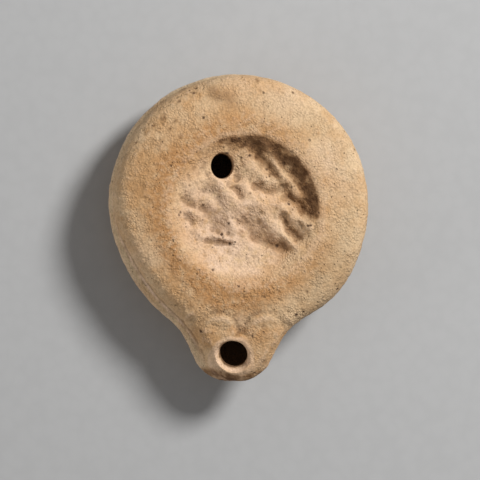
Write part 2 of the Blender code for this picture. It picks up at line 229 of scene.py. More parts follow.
# fineness of the mesh
DISCUS_RINGS = 80
SHOULDER_RINGS = 66
EDGE_POINTS = 740
LOWER_POINTS = 370
BOWL_LEVELS = 46
CHAMBER_POINTS = 130
CHAMBER_RINGS = 10
CHAMBER_LEVELS = 12
CUTTER_POINTS = 96
CUTTER_RINGS = 24

# rounds of smoothing at the seam and at the holes' rims, and how far the rims are worn
SEAM_ROUNDS = 24
RIM_ROUNDS = 14
FILL_RIM_WEAR = 0.0006
WICK_RIM_WEAR = 0.0003


def length(name, description, default):
    """A size in metres that the user may set."""
    return FloatProperty(
        name=name, description=description, default=default, min=0.0, unit="LENGTH", precision=4
    )


def turn(name, description, default):
    """An angle that the user may set."""
    return FloatProperty(
        name=name, description=description, default=radians(default), subtype="ANGLE"
    )


def number(name, description, default):
    """A plain number that the user may set."""
    return FloatProperty(name=name, description=description, default=default, min=0.0)


def colour(name, description, default):
    """A colour that the user may set."""
    return FloatVectorProperty(
        name=name,
        description=description,
        default=default,
        size=3,
        min=0.0,
        max=1.0,
        subtype="COLOR",
    )


class LampShape(bpy.types.PropertyGroup):
    """Sizes of the lamp."""

    body_radius: length("Body radius", "Radius of the round body at the seam", 0.0420)
    nozzle_length: length("Nozzle length", "How far the nozzle reaches past the body", 0.0161)
    nozzle_tip: length("Nozzle tip radius", "Radius of the nozzle's round end", 0.0117)
    nozzle_place: FloatProperty(
        name="Nozzle place", description="Sideways place of the nozzle", default=-0.0006
    )
    nozzle_flare: turn("Nozzle flare", "How much the nozzle's sides spread", 27)
    nozzle_fillet: length("Nozzle fillet", "Filling between nozzle and body", 0.0050)
    seam_height: length("Seam height", "Height of the seam between the halves", 0.0160)
    seam_drop: length("Seam drop", "Height of the band below the seam", 0.0028)
    shoulder_rise: length("Shoulder rise", "Height of the dome above the seam", 0.0106)
    shoulder_fall: length("Shoulder fall", "Fall of the shoulder from the disc out", 0.0034)
    shoulder_rounding: length("Shoulder rounding", "Width of the edge's rounding", 0.0055)
    shoulder_fullness: number("Shoulder fullness", "How square that rounding is", 3.0)
    rim_width: length("Rim width", "Level top between shoulder and disc", 0.0022)
    plate_rise: length("Plate rise", "Height of the nozzle's top above the seam", 0.0078)
    plate_fall: length("Plate fall", "Fall of the nozzle's top to its tip", 0.0034)
    plate_rounding: length("Plate rounding", "Rounding of the nozzle's edge", 0.0056)
    plate_fullness: number("Plate fullness", "How square the nozzle's edge is", 2.6)
    heart_step: length("Heart step", "Height of the heart on the nozzle", 0.0009)
    heart_edge: length("Heart edge", "Width of the heart's sloping edge", 0.0026)
    heart_margin: length("Heart margin", "Gap between heart and nozzle edge", 0.0012)
    lobe_radius: length("Lobe radius", "Radius of the heart's two lobes", 0.0069)
    lobe_spread: length("Lobe spread", "Distance of a lobe from the middle line", 0.0075)
    lower_margin: length("Lower margin", "How far the lower half stands out", 0.0002)
    lower_fullness: number("Lower fullness", "How full the bowl below is", 1.6)
    nozzle_fullness: number("Nozzle fullness", "How full the nozzle is below", 1.5)
    nozzle_spread: turn("Nozzle spread", "Reach of the nozzle's own fullness", 46)
    base_radius: length("Base radius", "Radius of the flat base", 0.0210)
    ring_radius: length("Ring radius", "Radius of the turned ring in the base", 0.0176)
    ring_width: length("Ring width", "Width of the turned ring", 0.0016)
    ring_depth: length("Ring depth", "Depth of the turned ring", 0.0006)
    discus_radius: length("Disc radius", "Radius of the sunk disc", 0.0243)
    discus_depth: length("Disc depth", "How deep the disc is sunk", 0.0044)
    discus_rounding: length("Disc rounding", "Rounding of the disc's edge", 0.0011)
    bowl_steep_run: length("Steep run", "Width of the disc's steep side", 0.0066)
    bowl_gentle_run: length("Gentle run", "Width of the disc's gentle side", 0.0120)
    bowl_steep_side: turn("Steep side", "Direction of the disc's steep side", 40)
    relief_height: length("Relief height", "Height of the worn figures", 0.0020)
    relief_margin: length("Relief margin", "Width over which the relief fades", 0.0022)
    wall: length("Wall", "Thickness of the clay", 0.0035)
    floor: length("Floor", "Thickness of the clay at the bottom", 0.0040)
    ceiling_run: length("Ceiling run", "Rounding of the chamber's ceiling", 0.0050)
    fill_width: length("Filling hole width", "Width of the filling hole", 0.0075)
    fill_length: length("Filling hole length", "Length of the filling hole", 0.0085)
    fill_taper: number("Filling hole taper", "Size at the bottom of the wall", 0.92)
    wick_radius: length("Wick hole radius", "Radius of the wick hole", 0.0060)
    wick_rim: length("Wick hole rim", "Clay left between hole and tip", 0.0005)
    wick_side: turn("Wick hole side", "Direction in which the hole lies off", -124)
    wick_taper: number("Wick hole taper", "Size at the bottom of the wall", 0.76)
    unevenness: length("Unevenness", "Slow waves left by the hands", 0.00015)
    disc_lumps: length("Disc lumps", "Height of the worn lumps in the disc", 0.00026)
    roughness: length("Roughness", "Height of the sandy wrinkles", 0.00011)
    pit_count: IntProperty(name="Pits", description="Pits all over", default=90, min=0)
    disc_pits: IntProperty(name="Disc pits", description="Pits in the disc", default=130, min=0)
    nicks: IntProperty(name="Nicks", description="Nicks along the left edge", default=26, min=0)
    seed: IntProperty(name="Seed", description="Start of the random numbers", default=7)


class ClayLook(bpy.types.PropertyGroup):
    """Colours of the fired clay, and of its painted shade and highlights."""

    buff: colour("Buff", "Main colour of the clay", (0.66, 0.462, 0.275))
    warm: colour("Warm", "Warmer patches of the clay", (0.56, 0.335, 0.160))
    ochre: colour("Ochre", "Orange-brown stain round the disc", (0.47, 0.245, 0.100))
    # also the colour of the painted highlights on the wick hole's wall and along the seam
    cream_and_highlight: colour("Cream", "Pale bloom on the worn disc", (0.755, 0.540, 0.385))
    olive: colour("Olive", "Grey-green cast of the outer shoulder", (0.53, 0.430, 0.290))
    # also the colour of the painted shade: in hollows, on the disc's shaded side, on the nozzle's
    # front edge and inside the holes
    grime_and_shade: colour("Grime", "Dirt in the hollows", (0.110, 0.052, 0.022))
    # also the colour of the painted shade on the lower right edge
    stain: colour("Stain", "Brown stains on the shoulder", (0.170, 0.085, 0.034))
    speck: colour("Speck", "Dark grains in the clay", (0.085, 0.045, 0.026))


class StageLook(bpy.types.PropertyGroup):
    """Floor, light and camera."""

    floor_colour: colour("Floor", "Colour of the plain floor", (0.455, 0.462, 0.475))
    key_power: number("Key power", "Power of the main light in watts", 13.3)
    side_power: number("Side power", "Power of the weak light from the left, in watts", 4.4)
    fill_strength: number("Fill strength", "Strength of the soft light all round", 0.22)
    view_width: length("View width", "Width of what the camera sees", 0.1566)
    distance: length("Camera distance", "From the camera to the lamp", 2.2)


def ease(t):
    """Rises smoothly from 0 to 1 while t goes from 0 to 1."""
    t = np.clip(t, 0.0, 1.0)
    return t * t * (3.0 - 2.0 * t)


def rounded(t, fullness):
    """Quarter of a superellipse: upright at t = 0, and level at 1 from t = 1 on."""
    t = np.clip(t, 0.0, 1.0)
    return (1.0 - (1.0 - t) ** fullness) ** (1.0 / fullness)


def bell(distance, width):
    """A bell curve: 1 at no distance, and 1/e at one width."""
    return np.exp(-((distance / width) ** 2))


def around(angle, direction):
    """Angle from a direction, between -pi and pi."""
    return (angle - direction + pi) % (2.0 * pi) - pi


def one_side(angle, direction, middle, swing):
    """Rises smoothly towards a direction: middle plus swing times the cosine, eased."""
    return ease(middle + swing * np.cos(angle - direction))


def away(x, y, place):
    """Distance in plan from a place."""
    return np.hypot(x - place[0], y - place[1])


def spots(x, y, table):
    """Sum of bell-shaped spots, each given as (place, radius, strength)."""
    return sum(strength * bell(away(x, y, place), radius) for place, radius, strength in table)


def disc_angle(x, y):
    """Direction of each point from the disc's middle."""
    return np.arctan2(y - DISCUS_PLACE[1], x - DISCUS_PLACE[0])


def body_inset(lamp, x, y, swells):
    """Body radius at the point's direction, a circle with bell-shaped swells, less its distance."""
    radius = lamp.body_radius
    for direction, width, swell in swells:
        radius = radius + swell * bell(around(np.arctan2(y, x), direction), width)
    return radius - np.hypot(x, y)


def nozzle_centre(lamp):
    """Place along Y of the middle of the nozzle's round end."""
    return -(lamp.body_radius + lamp.nozzle_length - lamp.nozzle_tip)


def nozzle_inset(lamp, x, y):
    """Distance inside a circle at the tip, and past it inside two straight spreading sides."""
    across = np.abs(x - lamp.nozzle_place)
    along = y - nozzle_centre(lamp)
    tip = lamp.nozzle_tip - np.hypot(across, along)
    side = lamp.nozzle_tip + along * sin(lamp.nozzle_flare) - across * cos(lamp.nozzle_flare)
    past_tip = along * cos(lamp.nozzle_flare) + across * sin(lamp.nozzle_flare) > 0.0
    return np.minimum(np.where(past_tip, side, tip), -y)


def plan_inset(lamp, x, y, swells):
    """Smooth maximum of body inset and nozzle inset, which fills the corners between them."""
    body = body_inset(lamp, x, y, swells)
    nozzle = nozzle_inset(lamp, x, y)
    share = np.clip(0.5 + 0.5 * (body - nozzle) / lamp.nozzle_fillet, 0.0, 1.0)
    return nozzle + (body - nozzle) * share + lamp.nozzle_fillet * share * (1.0 - share)


def heart_inset(lamp, x, y):
    """Distance inside the heart: two round lobes, and the nozzle's plan less a margin."""
    lobe_place = -lamp.body_radius
    aside = np.abs(x - lamp.nozzle_place) - lamp.lobe_spread
    lobes = lamp.lobe_radius - np.hypot(aside, y - lobe_place)
    point = np.minimum(nozzle_inset(lamp, x, y) - lamp.heart_margin, lobe_place - y)
    return np.maximum(lobes, point)


def shoulder_height(lamp, x, y):
    """Dome and nozzle plate, each a rounded step from the edge, blended by their powers."""
    body = body_inset(lamp, x, y, UPPER_SWELLS)
    nozzle = nozzle_inset(lamp, x, y)
    filled = plan_inset(lamp, x, y, UPPER_SWELLS) - np.maximum(body, nozzle)
    run = lamp.body_radius - lamp.discus_radius - lamp.rim_width
    outward_share = np.clip(1.0 - (body + filled) / run, 0.0, 1.0)
    dome = (lamp.shoulder_rise - lamp.shoulder_fall * outward_share**SHOULDER_BEND) * rounded(
        (body + filled) / lamp.shoulder_rounding, lamp.shoulder_fullness
    )
    down_nozzle = np.clip((-y - lamp.body_radius) / lamp.nozzle_length, 0.0, 1.0)
    plate = (lamp.plate_rise - lamp.plate_fall * down_nozzle) * rounded(
        (nozzle + filled) / lamp.plate_rounding, lamp.plate_fullness
    )
    top = (dome**PLATE_BLEND + plate**PLATE_BLEND) ** (1.0 / PLATE_BLEND)
    heart = ease(heart_inset(lamp, x, y) / lamp.heart_edge)
    return lamp.seam_height + top + lamp.heart_step * heart


def bowl_depth(lamp, x, y):
    """Depth of the disc: a parabola from its edge inwards, shorter on the steep side."""
    gentle = lamp.bowl_gentle_run
    steep = one_side(disc_angle(x, y), lamp.bowl_steep_side, 0.5, 0.5)
    run = gentle + (lamp.bowl_steep_run - gentle) * steep
    inward = lamp.discus_radius - away(x, y, DISCUS_PLACE)
    inward = 0.5 * (inward + np.sqrt(inward**2 + lamp.discus_rounding**2))
    return lamp.discus_depth * (1.0 - (1.0 - np.minimum(inward / run, 1.0)) ** 2)


def distance_to_route(x, y, route):
    """Shortest distance from each point to a line through the route's points."""
    nearest = np.full(np.shape(x), np.inf)
    for (x0, y0), (x1, y1) in zip(route, route[1:]):
        length_squared = (x1 - x0) ** 2 + (y1 - y0) ** 2
        share = ((x - x0) * (x1 - x0) + (y - y0) * (y1 - y0)) / length_squared
        share = np.clip(share, 0.0, 1.0)
        gap = np.hypot(x - x0 - share * (x1 - x0), y - y0 - share * (y1 - y0))
        nearest = np.minimum(nearest, gap)
    return nearest


def worn_place(lamp, x, y):
    """Places in relief steps from the disc's middle, each moved a little by smooth noise."""
    step = lamp.discus_radius / RELIEF_STEPS
    level = np.column_stack((np.ravel(x), np.ravel(y), np.zeros(np.size(x))))
    moved = [
        0.5 * layered_noise(level, WEAR_CELL, 3, lamp.seed + 50 + axis).reshape(np.shape(x))
        for axis in (0, 5)
    ]
    return (x - DISCUS_PLACE[0]) / step + moved[0], (y - DISCUS_PLACE[1]) / step + moved[1]


def relief(lamp, x, y):
    """Root of the summed squares of bell-shaped ridges along routes, less bell-shaped hollows."""
    across, along = worn_place(lamp, x, y)
    total = np.zeros(np.shape(x))
    for route, width, height in RIDGES.values():
        total = total + (height * bell(distance_to_route(across, along, route), width)) ** 2
    total = np.sqrt(total)
    for route, width, depth in HOLLOWS.values():
        total = total - depth * bell(distance_to_route(across, along, route), width)
    inward = lamp.discus_radius - away(x, y, DISCUS_PLACE)
    return lamp.relief_height * total * ease(inward / lamp.relief_margin)


def fill_centre(lamp):
    """Middle of the filling hole, in the disc."""
    step = lamp.discus_radius / RELIEF_STEPS
    return DISCUS_PLACE[0] - 6.8 * step, DISCUS_PLACE[1] + 14.2 * step


def fill_radii(lamp):
    """The filling hole's two radii."""
    return lamp.fill_width / 2, lamp.fill_length / 2


def wick_centre(lamp):
    """Middle of the wick hole, off the middle of the nozzle's round end."""
    reach = lamp.nozzle_tip - lamp.wick_radius - lamp.wick_rim
    return (
        lamp.nozzle_place + reach * cos(lamp.wick_side),
        nozzle_centre(lamp) + reach * sin(lamp.wick_side),
    )


def top_height(lamp, x, y):
    """Shoulder and nozzle plate, less the sunk disc, plus the relief."""
    return shoulder_height(lamp, x, y) - bowl_depth(lamp, x, y) + relief(lamp, x, y)


def mould_marks(lamp, x, y):
    """Small forms on top: worn ring, collar, grooves round the heart's lobes, dents."""
    radius, width, height = WORN_RING
    ring = bell(away(x, y, DISCUS_PLACE) - radius, width)
    marks = height * ring * one_side(disc_angle(x, y), WORN_RING_SIDE, 0.62, 0.6)
    gap, width, height = HOLE_COLLAR
    from_edge = away(x, y, fill_centre(lamp)) - lamp.fill_length / 2
    marks = marks + height * bell(from_edge - gap, width)
    width, height = LOBE_GROOVE
    behind = ease((y + lamp.body_radius + 0.003) / 0.002) * ease((-0.030 - y) / 0.002)
    marks = marks + height * bell(heart_inset(lamp, x, y), width) * behind
    return marks - spots(x, y, DENTS)


def edge_points(lamp, angles, inset, swells):
    """The outline at an inset, found along each direction by halving the span 40 times."""
    near = np.zeros(len(angles))
    far = np.full(len(angles), lamp.body_radius + lamp.nozzle_length + lamp.nozzle_tip)
    for _ in range(40):
        middle = (near + far) / 2
        depth = plan_inset(lamp, middle * np.cos(angles), middle * np.sin(angles), swells)
        near = np.where(depth > inset, middle, near)
        far = np.where(depth > inset, far, middle)
    return near * np.cos(angles), near * np.sin(angles)


def lower_edge_points(lamp, angles, inset):
    """The lower half's outline, turned and slipped against the upper half's."""
    x, y = edge_points(lamp, angles, inset, LOWER_SWELLS)
    turned_x = x * cos(LOWER_TURN) - y * sin(LOWER_TURN)
    turned_y = x * sin(LOWER_TURN) + y * cos(LOWER_TURN)
    return turned_x + LOWER_SLIP[0], turned_y + LOWER_SLIP[1]


def directions(count):
    """Angles round the axis from -Y on, closer together there: turn less 0.33 sine of turn."""
    turned = np.arange(count) * (2.0 * pi / count)
    return turned - 0.33 * np.sin(turned) - pi / 2


def level_ring(angles, radius, centre, height):
    """A level circle of points."""
    x = centre[0] + radius * np.cos(angles)
    y = centre[1] + radius * np.sin(angles)
    return np.column_stack((x, y, np.full(len(angles), height)))


def pulled_to_hole(lamp, x, y):
    """Points moved out from the filling hole's middle, so that they crowd at its edge."""
    centre = fill_centre(lamp)
    radii = fill_radii(lamp)
    across = (x - centre[0]) / radii[0]
    along = (y - centre[1]) / radii[1]
    share = np.hypot(across, along)
    moved = np.interp(share, (0.0, 0.35, 1.0, 1.9), (0.0, 0.94, 1.16, 1.9))
    grown = np.where(share < 1.9, moved / np.maximum(share, 1e-9), 1.0)
    return centre[0] + across * grown * radii[0], centre[1] + along * grown * radii[1]


def upper_rings(lamp, discus_rings, shoulder_rings, points, inset, height):
    """Rings of the upper half: circles of 6k points in the disc, then blends to the outline."""
    rings = []
    for step in range(1, discus_rings + 1):
        radius = lamp.discus_radius * step / discus_rings
        rings.append(level_ring(directions(6 * step), radius, DISCUS_PLACE, 0.0))
    for step in range(1, shoulder_rings + 1):
        out = step / shoulder_rings
        count = round(6 * discus_rings + (points - 6 * discus_rings) * min(1.0, 1.6 * out))
        angles = directions(count)
        outer_x, outer_y = edge_points(lamp, angles, inset, UPPER_SWELLS)
        edge = level_ring(angles, lamp.discus_radius, DISCUS_PLACE, 0.0)
        power = 1.25 + 0.75 * ease(np.abs(around(angles, -pi / 2)) / radians(50))
        share = (1.0 - out) ** power
        x = outer_x + (edge[:, 0] - outer_x) * share
        y = outer_y + (edge[:, 1] - outer_y) * share
        rings.append(np.column_stack((x, y, np.zeros(count))))
    for ring in rings:
        ring[:, 0], ring[:, 1] = pulled_to_hole(lamp, ring[:, 0], ring[:, 1])
        ring[:, 2] = height(ring[:, 0], ring[:, 1])
    return rings


def lower_rings(lamp, levels, points, inset, top, bottom):
    """Rings of the bowl: at each level a blend of base circle and outline by a rounded share."""
    angles = directions(points)
    outer_x, outer_y = lower_edge_points(lamp, angles, inset)
    from_nozzle = np.abs(around(angles, -pi / 2))
    fullness = lamp.lower_fullness + (lamp.nozzle_fullness - lamp.lower_fullness) * ease(
        1.0 - from_nozzle / lamp.nozzle_spread
    )
    rings = []
    for level in levels:
        out = rounded(level, fullness)
        x = lamp.base_radius * np.cos(angles) * (1.0 - out) + outer_x * out
        y = lamp.base_radius * np.sin(angles) * (1.0 - out) + outer_y * out
        height = bottom + (top - bottom) * level
        rings.append(np.column_stack((x, y, np.full(points, height))))
    return rings


def seam_rings(lamp, points):
    """The band below the seam: from the upper outline, rounded, to the lower outline."""
    angles = directions(points)
    upper_x, upper_y = edge_points(lamp, angles, 0.0, UPPER_SWELLS)
    lower_x, lower_y = lower_edge_points(lamp, angles, -lamp.lower_margin)
    rings = []
    for share in (0.05, 0.10, 0.18, 0.28, 0.40, 0.54, 0.70, 0.85):
        out = rounded(share, 1.6)
        x = upper_x + (lower_x - upper_x) * out
        y = upper_y + (lower_y - upper_y) * out
        height = lamp.seam_height - lamp.seam_drop * share
        rings.append(np.column_stack((x, y, np.full(points, height))))
    return rings


def base_rings(lamp):
    """Rings of the base: its edge, the turned groove, and a slightly hollow middle."""
    half = lamp.ring_width / 2
    steps = [(lamp.base_radius, 0.0)]
    steps += [(lamp.ring_radius + half * 1.6, 0.0), (lamp.ring_radius + half, 0.08)]
    steps += [
        (lamp.ring_radius + half * cos(turned), sin(turned))
        for turned in np.linspace(radians(25), radians(155), 7)
    ]
    steps += [(lamp.ring_radius - half, 0.12)]
    inner = lamp.ring_radius - half * 1.6
    steps += [(inner * share, 0.30 * (1.0 - share)) for share in np.linspace(1.0, 0.04, 26)]
    rings = []
    for radius, rise in steps:
        count = max(24, round(LOWER_POINTS * min(1.0, radius / lamp.base_radius)))
        rings.append(
            level_ring(directions(count), radius, (0.0, 0.0), lamp.ring_depth * rise)
        )
    return rings


def ring_faces(first, count, next_first, next_count):
    """Triangles between two rings: one for each step along either, in order of its share."""
    shares = np.concatenate(
        (np.arange(1, count + 1) / count, np.arange(1, next_count + 1) / next_count - 1e-9)
    )
    on_next = np.repeat((False, True), (count, next_count))[np.argsort(shares)]
    there = np.cumsum(on_next) - on_next
    here = np.cumsum(~on_next) - ~on_next
    third = np.where(
        on_next, next_first + (there + 1) % next_count, first + (here + 1) % count
    )
    return np.column_stack((first + here % count, next_first + there % next_count, third))


def loft(top, rings, bottom):
    """Points and triangles of a closed skin: top point, rings, bottom point."""
    counts = [len(ring) for ring in rings]
    starts = np.concatenate(((1,), 1 + np.cumsum(counts)))
    points = np.concatenate((np.array([top]), *rings, np.array([bottom])))
    ahead = np.roll(np.arange(counts[0]), -1)
    faces = [np.column_stack((np.zeros(counts[0], int), 1 + np.arange(counts[0]), 1 + ahead))]
    for k in range(len(rings) - 1):
        faces.append(ring_faces(starts[k], counts[k], starts[k + 1], counts[k + 1]))
    here = np.arange(counts[-1])
    ahead = np.roll(here, -1)
    last = np.full(counts[-1], starts[-1])
    faces.append(np.column_stack((starts[-2] + here, last, starts[-2] + ahead)))
    return points, np.concatenate(faces)


def lattice_noise(points, cell, seed):
    """Smooth random field: values at the corners of a cubic lattice, eased between them."""
    place = points / cell
    corner = np.floor(place).astype(np.int64)
    share = ease(place - corner)
    values = np.random.default_rng(seed).uniform(-1.0, 1.0, 4096)
    total = np.zeros(len(points))
    for step in product((0, 1), repeat=3):
        at = corner + np.array(step)
        key = (at[:, 0] * 73856093) ^ (at[:, 1] * 19349663) ^ (at[:, 2] * 83492791)
        weight = np.prod(np.where(np.array(step), share, 1.0 - share), axis=1)
        total += values[key % 4096] * weight
    return total


def layered_noise(points, cell, layers, seed):
    """Lattice noise at halving cells and halving heights."""
    total = np.zeros(len(points))
    for layer in range(layers):
        total += lattice_noise(points, cell / 2**layer, seed + layer) / 2**layer
    return total


def outward(points, faces):
    """Unit normals: the sum of each point's face normals, weighted by area."""
    a, b, c = (points[faces[:, k]] for k in range(3))
    flat = np.cross(b - a, c - a)
    total = np.zeros_like(points)
    for axis in range(3):
        for k in range(3):
            total[:, axis] += np.bincount(faces[:, k], flat[:, axis], len(points))
    return total / np.maximum(np.linalg.norm(total, axis=1), 1e-20)[:, None]


def neighbour_mean(values, faces):
    """Mean of the values at each point's neighbours on a closed triangle mesh."""
    start = faces.ravel()
    end = np.roll(faces, -1, axis=1).ravel()
    count = np.maximum(np.bincount(start, minlength=len(values)), 1)
    sums = [np.bincount(start, values[end, k], len(values)) for k in range(values.shape[1])]
    return np.stack(sums, axis=1) / count[:, None]


def drawn_pits(lamp, points):
    """Places and radii of the pits: all over the lamp, in the disc, nicks and the big ones."""
    draw = np.random.default_rng(lamp.seed + 40)
    x, y, z = points.T
    inward = lamp.discus_radius - away(x, y, DISCUS_PLACE)
    steep_side = x * cos(lamp.bowl_steep_side) + y * sin(lamp.bowl_steep_side)
    rough = draw.random(len(points)) < 0.12 + 0.88 * ease(steep_side / 0.012)
    in_disc = np.flatnonzero((inward > 0.001) & (z > lamp.seam_height) & rough)
    anywhere = draw.integers(len(points), size=lamp.pit_count)
    chosen = np.concatenate((anywhere, in_disc[draw.integers(len(in_disc), size=lamp.disc_pits)]))
    radii = 0.00022 + 0.00024 * draw.random(len(chosen)) ** 3
    turned = np.radians(draw.uniform(*NICK_ARC, lamp.nicks))
    reach = lamp.body_radius - NICK_INSET - NICK_BAND * draw.random(lamp.nicks)
    marked = np.array([place for place, _ in BIG_PITS])
    x = np.concatenate((reach * np.cos(turned), marked[:, 0]))
    y = np.concatenate((reach * np.sin(turned), marked[:, 1]))
    added = np.column_stack((x, y, top_height(lamp, x, y)))
    added_radii = np.concatenate(
        (0.00028 + 0.00016 * draw.random(lamp.nicks), [radius for _, radius in BIG_PITS])
    )
    return np.concatenate((points[chosen], added)), np.concatenate((radii, added_radii))


def pit_depth(points, centres, radii):
    """Depth of the pits: a bell curve round each one's middle, 0.6 of its radius deep."""
    total = np.zeros(len(points))
    for centre, radius in zip(centres, radii):
        near = np.flatnonzero(np.abs(points[:, 0] - centre[0]) < 3 * radius)
        gap = np.linalg.norm(points[near] - centre, axis=1)
        total[near] += 0.6 * radius * bell(gap, radius)
    return total


def clay_unevenness(lamp, points, pits):
    """How far the clay stands out from the mould's form: slow waves, lumps, wrinkles, pits."""
    x, y, z = points.T
    from_middle = away(x, y, DISCUS_PLACE)
    slow = layered_noise(points, WAVE_CELL, 2, lamp.seed)
    lumps = layered_noise(points, LUMP_CELL, 2, lamp.seed + 10) * (z > lamp.seam_height)
    lumps = lumps * ease((0.0215 - from_middle) / 0.004)
    wrinkles = layered_noise(points, WRINKLE_CELL, 2, lamp.seed + 20)
    grains = lattice_noise(points, GRAIN_CELL, lamp.seed + 30)
    lower_left = ease(0.5 - 0.6 * (x + y - sum(DISCUS_PLACE)) / 0.03)
    coarse = 1.0 + 0.5 * bell(from_middle - WORN_RING[0], 0.0050) * lower_left
    return (
        lamp.unevenness * (slow - 0.9)
        + lamp.disc_lumps * lumps
        + lamp.roughness * (wrinkles + 0.65 * grains - 0.5) * coarse
        - pit_depth(points, *pits)
    )


def lamp_skin(lamp):
    """The outside: upper half, seam band, bowl and base, moved in by the clay's unevenness."""
    def height(x, y):
        return top_height(lamp, x, y) + mould_marks(lamp, x, y)

    levels = np.linspace(1.0, 0.0, BOWL_LEVELS)[:-1] ** 1.35
    rings = upper_rings(lamp, DISCUS_RINGS, SHOULDER_RINGS, EDGE_POINTS, 0.0, height)
    rings += seam_rings(lamp, LOWER_POINTS)
    band_foot = lamp.seam_height - lamp.seam_drop
    rings += lower_rings(lamp, levels, LOWER_POINTS, -lamp.lower_margin, band_foot, 0.0)
    rings += base_rings(lamp)
    top = (*DISCUS_PLACE, float(height(*DISCUS_PLACE)))
    points, faces = loft(top, rings, (0.0, 0.0, 0.30 * lamp.ring_depth))
    on_base = ease((0.0012 - points[:, 2]) / 0.0008) * (
        np.hypot(points[:, 0], points[:, 1]) < lamp.base_radius * 1.02
    )
    pits = drawn_pits(lamp, points)
    moved = clay_unevenness(lamp, points, pits) * (1.0 - 0.8 * on_base)
    smeared = 0.5 * bell(points[:, 2] - lamp.seam_height + 0.0002, 0.0013)
    for _ in range(SEAM_ROUNDS):
        points = points + (neighbour_mean(points, faces) - points) * smeared[:, None]
    points = points + outward(points, faces) * moved[:, None]
    points[:, 2] = np.maximum(points[:, 2], 0.0)
    return points, faces, pits


def chamber_skin(lamp):
    """The hollow inside: the outside's form, a wall's thickness in."""
    def ceiling(x, y):
        inset = plan_inset(lamp, x, y, UPPER_SWELLS) - lamp.wall
        outside = shoulder_height(lamp, x, y) - bowl_depth(lamp, x, y)
        rise = outside - lamp.wall - lamp.seam_height
        return lamp.seam_height + rise * rounded(inset / lamp.ceiling_run, 2.0)

    levels = np.linspace(1.0, 0.0, CHAMBER_LEVELS)[:-1] ** 1.5
    rings = upper_rings(lamp, CHAMBER_RINGS, CHAMBER_RINGS, CHAMBER_POINTS, lamp.wall, ceiling)
    band_foot = lamp.seam_height - lamp.seam_drop
    rings += lower_rings(lamp, levels, CHAMBER_POINTS, lamp.wall, band_foot, lamp.floor)
    rings.append(level_ring(directions(48), lamp.base_radius / 2, (0.0, 0.0), lamp.floor))
    top = (*DISCUS_PLACE, float(ceiling(*DISCUS_PLACE)))
    return loft(top, rings, (0.0, 0.0, lamp.floor))


def hole_skin(lamp, centre, radii, taper, lean):
    """A round cutter that narrows and leans as it goes down from the surface."""
    surface = float(top_height(lamp, *centre))
    reach = lamp.wall + 0.0040
    angles = np.arange(CUTTER_POINTS) * (2.0 * pi / CUTTER_POINTS)
    rings = []
    for down in np.linspace(-reach / lamp.wall, reach / lamp.wall, CUTTER_RINGS):
        size = 1.0 - (1.0 - taper) * down
        x = centre[0] + radii[0] * size * np.cos(angles) + lean[0] * down
        y = centre[1] + radii[1] * size * np.sin(angles) + lean[1] * down
        rings.append(np.column_stack((x, y, np.full(CUTTER_POINTS, surface - down * lamp.wall))))
    return loft(rings[0].mean(axis=0), rings, rings[-1].mean(axis=0))


def mesh_object(name, points, faces):
    """An object at the origin with this mesh."""
    mesh = bpy.data.meshes.new(name)
    mesh.vertices.add(len(points))
    mesh.vertices.foreach_set("co", points.astype(np.float32).ravel())
    mesh.loops.add(faces.size)
    mesh.loops.foreach_set("vertex_index", faces.astype(np.int32).ravel())
    mesh.polygons.add(len(faces))
    mesh.polygons.foreach_set("loop_start", np.arange(len(faces), dtype=np.int32) * 3)
    mesh.update(calc_edges=True)
    mesh.validate()
    made = bpy.data.objects.new(name, mesh)
    bpy.context.scene.collection.objects.link(made)
    return made


def hollowed(outside, cutters):
    """Points and triangles of the outside less the cutters, which are then removed."""
    for cutter in cutters:
        cut = outside.modifiers.new(cutter.name, "BOOLEAN")
        cut.operation = "DIFFERENCE"
        cut.solver = "EXACT"
        cut.object = cutter
    outside.modifiers.new("triangles", "TRIANGULATE")
    view = bpy.context.evaluated_depsgraph_get()
    mesh = bpy.data.meshes.new_from_object(outside.evaluated_get(view))
    points = np.empty(len(mesh.vertices) * 3)
    mesh.vertices.foreach_get("co", points)
    faces = np.empty(len(mesh.loops), np.int32)
    mesh.loops.foreach_get("vertex_index", faces)
    for spent in (outside, *cutters):
        bpy.data.objects.remove(spent, do_unlink=True)
    bpy.data.meshes.remove(mesh)
    return points.reshape(-1, 3), faces.reshape(-1, 3)


def hole_nearness(lamp, points, centre, radii):
    """Distance of each point from a hole's rim, in plan and in height together."""
    x, y, z = points.T
    away = np.hypot((x - centre[0]) / radii[0], (y - centre[1]) / radii[1])
    from_wall = np.abs(away - 1.0) * min(radii)
    return np.hypot(from_wall, z - top_height(lamp, x, y))


def worn_rims(lamp, points, faces):
    """The holes' rims rounded: points near them are drawn to their neighbours' mean."""
    fill = hole_nearness(lamp, points, fill_centre(lamp), fill_radii(lamp))
    wick = hole_nearness(lamp, points, wick_centre(lamp), (lamp.wick_radius,) * 2)
    share = 0.5 * ease(1.6 - np.minimum(fill / FILL_RIM_WEAR, wick / WICK_RIM_WEAR))
    for _ in range(RIM_ROUNDS):
        points = points + (neighbour_mean(points, faces) - points) * share[:, None]
    return points


def hollowness(points, faces, rounds):
    """How far each point lies below the mean surface round it, in metres: positive in hollows."""
    spread = points
    for _ in range(rounds):
        spread = neighbour_mean(spread, faces)
    return np.sum((spread - points) * outward(points, faces), axis=1)


def on_nozzle(y):
    """Rises from 0 to 1 over the nozzle's root."""
    return ease((-0.037 - y) / 0.005)


def ochre_stain(x, y, cloud):
    """Ochre: a ring round the disc, the nozzle and its root, and the left side."""
    angle = disc_angle(x, y)
    ring = bell(away(x, y, DISCUS_PLACE) - OCHRE_RING_RADIUS, OCHRE_RING_WIDTH)
    ring = ring * (0.30 + 0.70 * one_side(angle, OCHRE_RING_SIDE, 0.55, 0.55))
    root = bell(np.hypot(x / 1.5, y + NOZZLE_ROOT), NOZZLE_ROOT_WIDTH)
    left = one_side(angle, OCHRE_SIDE, 0.5, 0.8)
    ochre = ring + 0.7 * root + 0.32 * left + 0.22 * on_nozzle(y)
    return np.clip(ochre * (1.0 + 0.5 * cloud), 0.0, 1.0)


